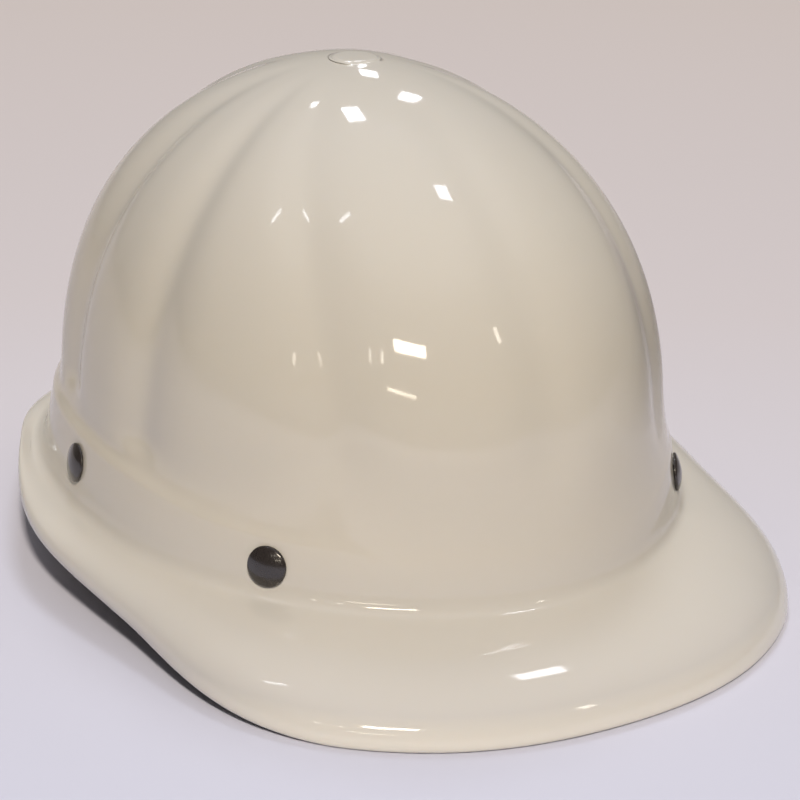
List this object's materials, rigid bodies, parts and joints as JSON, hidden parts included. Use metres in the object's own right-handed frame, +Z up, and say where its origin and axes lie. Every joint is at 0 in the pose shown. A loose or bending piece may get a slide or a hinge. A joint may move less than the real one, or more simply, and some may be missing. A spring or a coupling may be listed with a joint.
{
  "type": "safety helmet",
  "caption": "Cap-style safety helmet with a lobed dome, a moulded brim and peak, riveted webbing suspension and an adjustable headband.",
  "frame": {"origin": "on the table, under the middle of the overall box", "axes": "+Z up, -Y towards the peak, +X towards the wearer's left"},
  "size_m": [0.2314, 0.294, 0.16],
  "materials": {
    "moulded_shell": "high gloss",
    "black_rivet": "semi gloss",
    "zinc_washer": "satin",
    "nylon_hanger": "satin",
    "webbing": "woven",
    "crown_foam": "matt",
    "headband_plastic": "satin",
    "sweatband_leather": "grained",
    "aluminium_tack": "satin"
  },
  "bodies": {
    "shell": {"shell": "moulded_shell", "rivet_front_right": "black_rivet", "rivet_front_left": "black_rivet", "rivet_side_right": "black_rivet", "rivet_side_left": "black_rivet", "rivet_rear_right": "black_rivet", "rivet_rear_left": "black_rivet", "washer_front_right": "zinc_washer", "washer_front_left": "zinc_washer", "washer_side_right": "zinc_washer", "washer_side_left": "zinc_washer", "washer_rear_right": "zinc_washer", "washer_rear_left": "zinc_washer", "hanger_front_right": "nylon_hanger", "hanger_front_left": "nylon_hanger", "hanger_side_right": "nylon_hanger", "hanger_side_left": "nylon_hanger", "hanger_rear_right": "nylon_hanger", "hanger_rear_left": "nylon_hanger", "strap_side": "webbing", "strap_right_front": "webbing", "strap_left_front": "webbing", "crown_pad": "crown_foam"},
    "headband": {"headband": "headband_plastic", "sweatband": "sweatband_leather", "nape_guide_right": "nylon_hanger", "nape_guide_left": "nylon_hanger", "guide_tacks_right": "aluminium_tack", "guide_tacks_left": "aluminium_tack"},
    "nape_strap": {"nape_strap": "headband_plastic"}
  },
  "joints": [
    {"name": "headband_height", "type": "slide", "parent": "shell", "child": "headband", "axis": [0, 0, 1], "range_m": [0, 0.009]},
    {"name": "nape_strap_size", "type": "slide", "parent": "headband", "child": "nape_strap", "axis": [0, 1, 0], "range_m": [-0.01, 0.01]}
  ]
}
